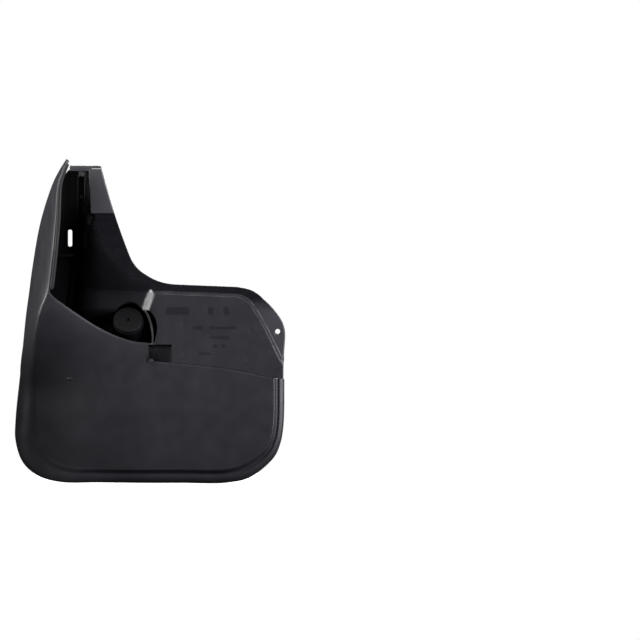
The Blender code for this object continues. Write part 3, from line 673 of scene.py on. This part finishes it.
def carrier_height(x, z):
    """Front face of the carrier at x, z."""
    outside = signed_distance(x, z, FACE_LINE)
    tab_share = ease((44.0 - z) / 20.0) * ease((x - 10.0) / 30.0)
    flange = (1.0 - tab_share) * flange_y(z) + tab_share * tab_y(x, z)
    base = flange * ease(outside / (STEP_RUN + 14.0 * ease((-62.0 - x) / 16.0)))
    # The flat face's left edge rolls down to the flange's depth, and looks a little upwards at its top.
    fall = FLANGE_Y + 1.5 * (1.0 - ease((z - 44.0) / 12.0))
    left_edge = fall * ease((-67.0 - x + 0.35 * np.clip(z - 26.0, 0.0, 34.0)) / FACE_ROLL)
    base = np.maximum(base, left_edge)
    base = base + COVERED_Y * ease((seam_z(x) + 1.0 - z) / 0.8)
    in_recess = ease((RECESS_RIGHT - x) / 0.5) * ease((RECESS_TOP - z) / 0.5)
    recess = RECESS_DEPTH * (0.3 + 0.7 * np.clip((RECESS_RIGHT - x) / 17.0, 0.0, 1.0))
    base = base + (recess - base) * in_recess
    base = base + moulded_marks(x, z)
    start, end = roll_x(z), land_x(z)
    share = np.clip((start - x) / (start - end), 0.0, 1.0)
    return base + (LAND_Y - base) * roll_depth(share, z)


def bar(x, z, centre, size, soft):
    """1 inside a rounded bar of this size, falling to 0 over its soft edge."""
    dx = np.abs(x - centre[0]) - size[0] / 2 + 1.0
    dz = np.abs(z - centre[1]) - size[1] / 2 + 1.0
    outside = np.hypot(np.maximum(dx, 0.0), np.maximum(dz, 0.0)) - 1.0
    return ease(-outside / soft)


def moulded_marks(x, z):
    """Blank sunk panels, plain bars and ejector discs on the flat face."""
    sunk = np.zeros(np.shape(x))
    for centre, size in MARK_PANELS:
        sunk = np.maximum(sunk, bar(x, z, centre, size, 1.2))
    height = MARK_DEPTH * sunk
    for centre, radius in EJECTOR_DISCS:
        height = height + MARK_DEPTH * ease((radius - np.hypot(x - centre[0], z - centre[1])) / 0.6)
    return height


def carrier_painted_shade_and_gloss(x, y, z):
    """Up to 1 on the flange, upright, recess and channel wall, where the surface is glossier and painted
    darker as painted shade, and 0 or below, which counts as 0, on the grained faces and the step round the
    flat one."""
    on_tab = ease((x - 34.0) / 10.0) * ease((40.0 - z) / 8.0)
    outside = signed_distance(x, z, FACE_LINE)
    flange = ease((outside - 0.8) / 2.0) * (1.0 - on_tab)
    # The recess is painted darker too, as painted shade under its top wall.
    flange = np.maximum(flange, 0.55 * (x < RECESS_RIGHT) * (z < RECESS_TOP))
    step = ease((outside + 0.6) / 0.8) * ease((STEP_RUN + 0.8 - outside) / 0.8) * (x > -62.0)
    wall = 0.5 * ease((roll_x(z) + 4.0 - x) / 12.0) * ease((z - 43.0) / 5.0)
    wall = np.maximum(wall, 0.5 * ease((-65.0 - x) / 3.0) * (z > -12.0))
    marks = np.zeros(len(x))
    for centre, size in MARK_PANELS:
        marks = np.maximum(marks, 0.4 * bar(x, z, centre, size, 0.8))
    rib = ease((1.8 - np.abs(signed_distance(x, z, RIB_LINE))) / 0.8) * (z < 27.0)
    return np.maximum(np.maximum(flange, wall) * (1.0 - rib), marks) * (1.0 - step) - 1.4 * step


def left_columns(right, z):
    """x of a row's points from the corner to the left edge of the land."""
    start, end = float(roll_x(z)), float(land_x(z))
    corner, roll = right + CORNER_SHARES * (start - right), start + ROLL_SHARES * (end - start)
    return np.concatenate((corner, roll, end - LAND_WIDTH * LAND_SHARES))


def lower_row(z, heights):
    """A row of the carrier's lower block. z places its right end, and heights gives z at each x."""
    left_z = float(heights(np.array([-100.0]))[0])
    face = np.linspace(float(tab_x(z)), BLOCK_LEFT, FACE_COLUMNS + 1)[:-1]
    x = np.concatenate((face, left_columns(BLOCK_LEFT, left_z)))
    z = heights(x)
    return np.column_stack((x, carrier_height(x, z), z))


def upper_row(z):
    """A row of the upright."""
    x = left_columns(float(upright_x(z)), z)
    heights = np.full(len(x), z)
    return np.column_stack((x, carrier_height(x, heights), heights))


def make_carrier():
    # Where its mask is 1 the carrier is glossier and painted darker as painted shade; it is also painted
    # darker towards the channel's depth, as painted shade.
    black = plastic("carrier_satin", (0.0135, 0.0132, 0.0160), 0.46, grain=0.3, grain_size=0.45,
                    wear=0.15, painted_shade_look=(0.26, 0.55, 1.0), deep=(22.0, 42.0))
    # The rows lie close together where the height changes sharply, at the seam and the recess's top.
    rows = [lower_row(-52.0, lambda x: np.full(len(x), CARRIER_FOOT))]
    for offset in (-8.0, -3.0, -0.2, 0.3, 0.7, 1.1, 1.6):
        rows.append(lower_row(-45.0, lambda x: seam_z(x) + offset))
    for t in np.linspace(0.0, 1.0, 26)[1:]:
        rows.append(lower_row(-45.0 + 34.4 * t, lambda x: (1 - t) * (seam_z(x) + 1.6) - 10.6 * t))
    face_rows = np.concatenate((np.linspace(-9.0, 44.0, 76), np.linspace(44.6, BLOCK_TOP, 10)))
    for z in np.concatenate(([-10.3, -10.0, -9.6], face_rows)):
        rows.append(lower_row(z, lambda x: raised_top(x, np.full(len(x), z))))
    top = float(raised_top(BLOCK_LEFT, BLOCK_TOP))
    heights = np.concatenate((
        np.linspace(top, 60.0, 16), np.linspace(61.0, 90.0, 28), np.linspace(92.0, TOP_Z, 46),
    ))
    upper = [upper_row(z) for z in heights]
    carrier = wall_from("carrier_moulding", (rows, upper), WALL, black, softening=24, roundness=0.45,
                        straight=True)
    for name, outline in (("crescent", CRESCENT), ("well_side", WELL_SIDE)):
        boolean(carrier, prism(name, rounded(outline, 1.2, 4), -10.0, 60.0))
    well = bmesh.new()
    cylinder_into(well, BOSS_FACE, WELL_RADIUS, 90.0, AXIS_BOSS, 96)
    boolean(carrier, helper("well", well))
    cuts = bmesh.new()
    x, z = TAB_HOLE
    face = float(tab_y(x, z))
    cylinder_into(cuts, (x, face, z), TAB_HOLE_RADIUS, THROUGH, AXIS_Y, 48)
    for x, z in SEAM_RIVETS:
        cylinder_into(cuts, (x, WALL, z), RIVET_SHANK_RADIUS + GAP, THROUGH, AXIS_Y, 24)
    for place in land_places():
        cylinder_into(cuts, place, RIVET_SHANK_RADIUS + GAP, THROUGH, AXIS_Y, 24)
    boolean(carrier, helper("carrier_cuts", cuts))
    notch = bmesh.new()
    low, high = Vector((TAB_NOTCH[0], -20.0, -80.0)) * MM, Vector((90.0, 40.0, TAB_NOTCH[1])) * MM
    bmesh.ops.create_cube(notch, size=1.0)
    bmesh.ops.scale(notch, verts=notch.verts, vec=high - low)
    bmesh.ops.translate(notch, verts=notch.verts, vec=(low + high) / 2)
    boolean(carrier, helper("tab_notch", notch))
    sink = bmesh.new()
    slope = (TAB_SINK_RADIUS - TAB_HOLE_RADIUS) / TAB_SINK_DEPTH
    x, z = TAB_HOLE
    cylinder_into(
        sink, (x, face - TAB_SINK_DEPTH / 2, z), TAB_HOLE_RADIUS, 3 * TAB_SINK_DEPTH, AXIS_Y, 48,
        TAB_HOLE_RADIUS + 3 * slope * TAB_SINK_DEPTH,
    )
    boolean(carrier, helper("tab_sink", sink))
    settle(carrier)
    add_painted_shade(carrier, carrier_painted_shade_and_gloss)
    own(carrier, "carrier_plastic", "inner_carrier")


def land_places():
    """Places of the rivets that hold the channel's back to the carrier."""
    return [Vector((float(land_x(z)) - LAND_WIDTH / 2, BACK_Y + WALL, z)) for z in LAND_RIVETS]


# The channel back

def back_row(z):
    """A row of the channel's back at height z, which turns forward into the channel's right side."""
    left, right = float(back_left_x(z)), float(back_right_x(z))
    up = float(ease((z + 95.0) / 35.0))
    row = []
    for x in np.linspace(left, right, 90):
        row.append((x, up * BACK_Y + (1.0 - up) * (shell_y(x, z) + SKIN + 2 * GAP), z))
    rear = row[-1][1]
    front = flange_y(z) + WALL + BACK_CLEARANCE if z > 30.0 else WALL + BACK_CLEARANCE
    front = rear + (front - rear) * up
    for share in np.linspace(0.0, 1.0, 22)[1:]:
        row.append((right + 0.8 * share, rear + share * (front - rear), z))
    return row


def make_channel():
    # Where its mask is 1 this plastic is painted nearly black with weak specular, as painted shade; its
    # roughness stays the same.
    dull_and_painted_shade = plastic("channel_dull_painted_shade", (0.010, 0.010, 0.0125), 0.6, grain=0.5, grain_size=0.6, specular=0.4,
                   painted_shade_look=(0.6, 0.12, 0.15))
    heights = np.concatenate((np.linspace(-108.0, 30.0, 90), np.linspace(31.5, TOP_Z, 92)))
    channel = wall_from("channel_moulding", ([back_row(z) for z in heights],), WALL, dull_and_painted_shade, softening=4)
    cuts = bmesh.new()
    for place in land_places():
        cylinder_into(cuts, place, RIVET_SHANK_RADIUS + GAP, THROUGH, AXIS_Y, 24)
    for x, z in SKIRT_RIVETS:
        place, rotation = on_shell(x, z, SKIN + WALL)
        cylinder_into(cuts, place, RIVET_SHANK_RADIUS + GAP, 12.0, rotation, 24)
    boolean(channel, helper("channel_cuts", cuts))
    x0, x1, z0, z1 = SLOT
    outline = rounded(((x0, z0), (x1, z0), (x1, z1), (x0, z1)), 2.6, 6)
    boolean(channel, prism("channel_slot", outline, BACK_Y - 10.0, BACK_Y + 20.0))
    x0, x1, z0, z1 = LEDGE
    outline = rounded(((x0, z0), (x1, z0), (x1, z1), (x0, z1)), 1.0, 4)
    boolean(channel, prism("channel_ledge", outline, BACK_Y - 16.0, BACK_Y + 1.0), "UNION")
    settle(channel)
    # Painted shade: only the sides that face forward, into the channel, are painted nearly black with weak
    # specular, as shade inside the channel.
    normals = np.empty(3 * len(channel.data.vertices))
    channel.data.vertices.foreach_get("normal", normals)
    add_painted_shade(channel, lambda x, y, z: ease((0.3 - normals[1::3]) / 0.2))
    own(channel, "back_plastic", "channel_back")


def prism(name, outline, near, far):
    """The x, z outline extruded from y near to y far, as a hidden operand."""
    mesh = bmesh.new()
    rings = [[mesh.verts.new(Vector((x, y, z)) * MM) for x, z in outline] for y in (near, far)]
    for i in range(len(outline)):
        j = (i + 1) % len(outline)
        mesh.faces.new((rings[0][i], rings[0][j], rings[1][j], rings[1][i]))
    mesh.faces.new(rings[0])
    mesh.faces.new(reversed(rings[1]))
    bmesh.ops.recalc_face_normals(mesh, faces=mesh.faces)
    return helper(name, mesh)


# The boss, its buffer, the pad, the shelf, the nut, the seal and the rivets

def make_boss():
    # The boss is the carrier's plastic painted far darker and with little specular, as painted shade in its
    # pocket.
    satin = plastic("boss_painted_shade", (0.0022, 0.0022, 0.0026), 0.5, grain=0.2, wear=0.3, specular=0.08)
    wall, face, deep = 3.0, 3.5, 65.0
    profile = rounded(
        ((PILOT_RADIUS, 0.0), (BOSS_RADIUS, 0.0), (BOSS_RADIUS, -deep), (BOSS_RADIUS - wall, -deep),
         (BOSS_RADIUS - wall, -face), (PILOT_RADIUS, -face)), (0.4, 1.2, 0.0, 0.0, 1.5, 0.4), 5)
    boss = turned("boss_moulding", [tuple(p) for p in profile], satin)
    boss.matrix_world = Matrix.Translation(BOSS_FACE * MM) @ AXIS_BOSS.to_4x4()
    outline = ((-140.0, -90.0), (-40.0, -90.0), (-40.0, 40.0), (-140.0, 40.0))
    boolean(boss, prism("boss_foot", outline, BACK_Y - GAP, BACK_Y + 60.0))
    own(boss, "carrier_plastic", "screw_boss")
    rubber = plastic("buffer_matt", (0.0026, 0.0026, 0.0030), 0.5, grain=0.6, grain_size=0.8,
                     wear=0.9, specular=0.18)
    top = GAP + BUFFER_THICK
    profile = rounded(
        ((PILOT_RADIUS, top - 0.5), (PILOT_RADIUS + 1.4, top - 0.35), (BUFFER_RADIUS - 1.6, top),
         (BUFFER_RADIUS - 0.1, top - 0.3), (BUFFER_RADIUS, GAP), (PILOT_RADIUS, GAP)),
        (0.3, 0.4, 0.8, 0.8, 0.3, 0.2), 4)
    buffer = turned("buffer_disc", [tuple(p) for p in profile], rubber)
    buffer.matrix_world = Matrix.Translation(BOSS_FACE * MM) @ AXIS_BOSS.to_4x4()
    own(buffer, "buffer_rubber", "boss_buffer")


def make_pad():
    """A crowned pad with round edges on the upper end of the upright."""
    satin = plastic("pad_satin", PAD_COLOUR, 0.42, grain=0.3)
    rings = []
    low, high = PAD_Z
    foot, cap = low + np.array((0.0, 0.15, 0.5, 1.0, 1.8)), high - np.array((1.5, 1.0, 0.5, 0.15, 0.0))
    for z in np.concatenate((foot, np.linspace(low + 4.0, high - 2.0, 30), cap)):
        inset = 1.3 * (1.0 - math.sqrt(1.0 - (1.0 - min(1.0, (z - low) / 1.3)) ** 2))
        right = float(upright_x(z)) + 0.3 - 0.3 * inset
        left = float(np.interp(z, *zip(*PAD_LEFT))) + 0.3 * inset
        back = float(flange_y(z)) - GAP
        front = back - PAD_THICK + inset
        corners = ((right, back), (right, front), (left, front), (left, back))
        rings.append([(x, y, z) for x, y in rounded(corners, (0.3, 1.3, 1.3, 0.3), 5)])
    pad = loft("pad_moulding", rings, satin)
    own(pad, "pad_plastic", "upright_pad")


def shelf_frame():
    """The tilted frame of the shelf and its nut: X as in the part, Y backwards, Z from the shelf's top."""
    place = Vector((0.0, flange_y(TOP_Z) - PAD_THICK - GAP, SHELF_TOP)) * MM
    return Matrix.Translation(place) @ Matrix.Rotation(SHELF_TILT, 4, "X")


def rounded_bar(x0, x1, outline_at, ends=2.6):
    """Rings along X of an outline that shrinks at both ends as outline_at(drop) says."""
    offsets = np.array((0.0, 0.08, 0.3, 0.7, 1.3, 2.0, 2.6))
    rings = []
    for x in np.concatenate((x0 + offsets, np.linspace(x0 + 3.2, x1 - 3.2, 12), (x1 - offsets)[::-1])):
        reach = min(x - x0, x1 - x, ends)
        drop = ends - math.sqrt(max(0.0, ends**2 - (ends - reach) ** 2))
        rings.append([(x, y, h) for y, h in outline_at(drop)])
    return rings


def make_shelf():
    """The cap plate, whose top rounds off at both ends, with a lip in front."""
    satin = plastic("shelf_satin", PAD_COLOUR, 0.42, grain=0.3)
    front = float(flange_y(TOP_Z)) - PAD_THICK - GAP
    depth = BACK_Y + WALL - front

    def plate(drop):
        near, far, top = 0.2 * drop, depth - 0.2 * drop, -min(drop, WALL - 0.3)
        return rounded(((near, -WALL), (near, top), (far, top), (far, -WALL)), (0.3, 1.1, 0.8, 0.3), 4)

    def lip(drop):
        near, low, top = 0.02 + 0.2 * drop, -LIP_DROP + 0.5 * drop, -0.9
        return rounded(((near, low), (near, top), (WALL, top), (WALL, low)), (0.7, 0.0, 0.0, 0.4), 4)

    shelf = loft("shelf_moulding", rounded_bar(*SHELF_X, plate), satin)
    shelf.matrix_world = shelf_frame()
    front_lip = hidden(loft("shelf_lip", rounded_bar(SHELF_X[0] + 0.3, LIP_RIGHT, lip, 1.2), satin))
    x, y = SHELF_HOLE
    hole = bmesh.new()
    cylinder_into(hole, (x, y - front, 0.0), SHELF_HOLE_RADIUS, 30.0, Matrix.Identity(3), 48)
    cutter = helper("shelf_hole", hole)
    for other, operation in ((front_lip, "UNION"), (cutter, "DIFFERENCE")):
        other.matrix_world = shelf_frame()
        boolean(shelf, other, operation)
    own(shelf, "pad_plastic", "top_shelf")


def make_nut():
    """The folded sheet nut with a toothed front ear and a pressed barrel."""
    steel = plastic("nut_steel", (0.11, 0.107, 0.104), 0.5, grain=0.3, metallic=1.0, wear=0.3)
    x, y = SHELF_HOLE
    front = float(flange_y(TOP_Z)) - PAD_THICK - GAP
    near, top, bend = WALL + 2.0, -WALL - GAP, 1.6
    path = [(near, top - NUT_SHEET - NUT_EAR)]
    for t in np.linspace(0.0, math.pi / 2, 7):
        path.append((near + bend * (1 - math.cos(t)), top - bend + bend * math.sin(t)))
    path += [(near + d, top) for d in np.linspace(bend + 1.0, NUT_DEPTH, 14)]
    rows = []
    for k, (d, h) in enumerate(path):
        row = []
        for share in np.linspace(-0.5, 0.5, 23):
            tooth = 1.2 * (math.cos(share * 6 * math.pi) > 0.0) if k == 0 else 0.0
            row.append((x + share * NUT_WIDTH, d, h + tooth))
        rows.append(row)
    nut = wall_from("nut_sheet", (rows,), NUT_SHEET, steel, roundness=0.4, cap_steps=4)
    nut.matrix_world = shelf_frame()
    height = Matrix.Translation(Vector((x, y - front, top - 0.2 - BARREL_HEIGHT / 2)) * MM)
    for name, radius, depth, operation in (
        ("nut_barrel", BARREL_RADIUS, BARREL_HEIGHT, "UNION"),
        ("nut_bore", SHELF_HOLE_RADIUS - 1.0, 4 * BARREL_HEIGHT, "DIFFERENCE"),
    ):
        mesh = bmesh.new()
        cylinder_into(mesh, (0.0, 0.0, 0.0), radius, depth, Matrix.Identity(3), 48)
        cutter = helper(name, mesh)
        cutter.matrix_world = shelf_frame() @ height
        boolean(nut, cutter, operation)
    own(nut, "spring_steel", "top_spring_nut")


def make_seal():
    """A rubber strip with a round bead that sits on the wing's free edge."""
    rubber = plastic("seal_matt", (0.0085, 0.0085, 0.0090), 0.6, grain=0.4, grain_size=0.7,
                     wear=0.6, specular=0.3)
    lines = curve_through(SHELL_EDGE, STEPS)[: SHOULDER * STEPS]
    strip = edge_strip(lines)
    points = []
    for edge, further in list(zip(strip[0], strip[2]))[3:]:
        back = Vector((further[0] - edge[0], further[1] - edge[1], 0.0)).normalized()
        inward = Vector((back.y, -back.x, 0.0))
        points.append((Vector(edge) + inward * SKIN / 2 - back * (SEAL_RADIUS + GAP), inward, back))
    rings = []
    for i, (place, inward, back) in enumerate(points):
        reach = min(i, len(points) - 1 - i) / 1.5
        size = SEAL_RADIUS * math.sqrt(1.0 - (1.0 - min(1.0, 0.35 + reach)) ** 2)
        ring = []
        for t in np.linspace(0.0, 2 * math.pi, 21)[:-1]:
            flatter = 1.0 if math.sin(t) < 0.0 else 0.8
            ring.append(place + inward * size * math.cos(t) + back * size * (flatter * math.sin(t)))
        rings.append(ring)
    seal = loft("seal_strip", rings, rubber)
    own(seal, "seal_rubber", "wing_edge_seal")


def make_rivets():
    steel = plastic("rivet_zinc", (0.03, 0.03, 0.032), 0.5, grain=0.25, metallic=1.0, wear=0.3)
    places = []
    for x, z in SEAM_RIVETS + SKIRT_RIVETS:
        places.append((*on_shell(x, z, SKIN + WALL + 3 * GAP), WALL + GAP + BLIND_DEPTH))
    for place in land_places():
        places.append((place + Vector((0.0, GAP, 0.0)), AXIS_BACK, 2 * WALL + GAP))
    for i, (place, rotation, length) in enumerate(places):
        head, height = RIVET_HEAD_RADIUS, RIVET_HEAD_HEIGHT
        turns = np.linspace(0.0, math.pi / 2, 12)
        dome = [(head * math.sin(t), 0.25 * height + 0.75 * height * math.cos(t)) for t in turns]
        profile = dome + [(head - 0.15, 0.0), (RIVET_SHANK_RADIUS, 0.0), (RIVET_SHANK_RADIUS, -length + 0.3),
                          (RIVET_SHANK_RADIUS - 0.3, -length), (0.0, -length)]
        rivet = turned(f"rivet_body_{i + 1}", profile, steel, 40)
        rivet.matrix_world = Matrix.Translation(place * MM) @ rotation.to_4x4()
        own(rivet, "rivet_metal", f"joining_rivet_{i + 1}")


# Stage, light and camera

def make_stage():
    floor_z = min(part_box(name)[0].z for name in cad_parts) - 0.0005
    bpy.ops.mesh.primitive_plane_add(size=2.4, location=(0.0, -0.1, floor_z))
    floor = bpy.context.object
    floor.name = "floor"
    material = bpy.data.materials.new("floor_pale")
    material.use_nodes = True
    nodes, links = material.node_tree.nodes, material.node_tree.links
    pale = nodes["Principled BSDF"]
    pale.inputs["Base Color"].default_value = (0.93, 0.93, 0.93, 1.0)
    pale.inputs["Roughness"].default_value = 0.9
    pale.inputs["Specular IOR Level"].default_value = 0.1
    pale.inputs["Emission Color"].default_value = (1.0, 1.0, 1.0, 1.0)
    pale.inputs["Emission Strength"].default_value = 0.45
    # The floor shows pale but throws little light back up at the object, like a sheet far below it.
    dim = nodes.new("ShaderNodeBsdfDiffuse")
    dim.inputs["Color"].default_value = (0.04, 0.04, 0.04, 1.0)
    mix = nodes.new("ShaderNodeMixShader")
    links.new(nodes.new("ShaderNodeLightPath").outputs["Is Camera Ray"], mix.inputs[0])
    links.new(dim.outputs["BSDF"], mix.inputs[1])
    links.new(pale.outputs["BSDF"], mix.inputs[2])
    links.new(mix.outputs["Shader"], nodes["Material Output"].inputs["Surface"])
    floor.data.materials.append(material)


def area_light(name, place, target, size, power, colour=(1.0, 1.0, 1.0), spread=180.0):
    light = bpy.data.lights.new(name, "AREA")
    light.shape = "RECTANGLE"
    light.size, light.size_y = size
    light.energy = power
    light.color = colour
    light.spread = math.radians(spread)
    obj = bpy.data.objects.new(name, light)
    bpy.context.scene.collection.objects.link(obj)
    obj.location = place
    obj.rotation_euler = (Vector(target) - Vector(place)).to_track_quat("-Z", "Y").to_euler()
    return obj


def make_light():
    centre = (-0.07, 0.0, 0.0)
    area_light("top_softbox", (-0.2, 0.5, 2.2), centre, (2.4, 2.4), 36.0)
    area_light("key_softbox", (-0.60, -0.14, 0.33), (-0.13, 0.0, 0.15), (0.14, 0.5), 1.05, spread=62.0)
    area_light("boss_softbox", (-0.42, -0.30, 0.30), (-0.082, 0.0, 0.035), (0.2, 0.2), 0.022, spread=20.0)
    area_light("front_softbox", (2.2, -2.4, 0.35), centre, (1.1, 1.6), 116.0, (0.92, 0.88, 1.0))
    area_light("right_softbox", (2.3, -0.3, 0.3), centre, (0.6, 1.2), 48.0)
    area_light("rear_softbox", (0.6, 2.2, 1.0), centre, (2.0, 1.6), 50.0)
    world = bpy.data.worlds.new("studio")
    bpy.context.scene.world = world
    world.use_nodes = True
    nodes, links = world.node_tree.nodes, world.node_tree.links
    shown, lit = nodes["Background"], nodes.new("ShaderNodeBackground")
    shown.inputs["Color"].default_value = (1.0, 1.0, 1.0, 1.0)
    shown.inputs["Strength"].default_value = 1.0
    lit.inputs["Color"].default_value = (0.9, 0.92, 1.0, 1.0)
    lit.inputs["Strength"].default_value = 0.03
    mix = nodes.new("ShaderNodeMixShader")
    links.new(nodes.new("ShaderNodeLightPath").outputs["Is Camera Ray"], mix.inputs[0])
    links.new(lit.outputs["Background"], mix.inputs[1])
    links.new(shown.outputs["Background"], mix.inputs[2])
    links.new(mix.outputs["Shader"], nodes["World Output"].inputs["Surface"])


def make_camera():
    data = bpy.data.cameras.new("camera")
    data.lens = 855.0
    camera = bpy.data.objects.new("camera", data)
    bpy.context.scene.collection.objects.link(camera)
    camera.location = (0.1105, -16.0, 0.0158)
    camera.rotation_euler = (math.radians(90.0), 0.0, 0.0)
    bpy.context.scene.camera = camera


make_camera()
make_shell()
make_carrier()
make_channel()
make_boss()
make_pad()
make_shelf()
make_nut()
make_seal()
make_rivets()
make_stage()
make_light()
bpy.context.scene.view_settings.view_transform = "Standard"
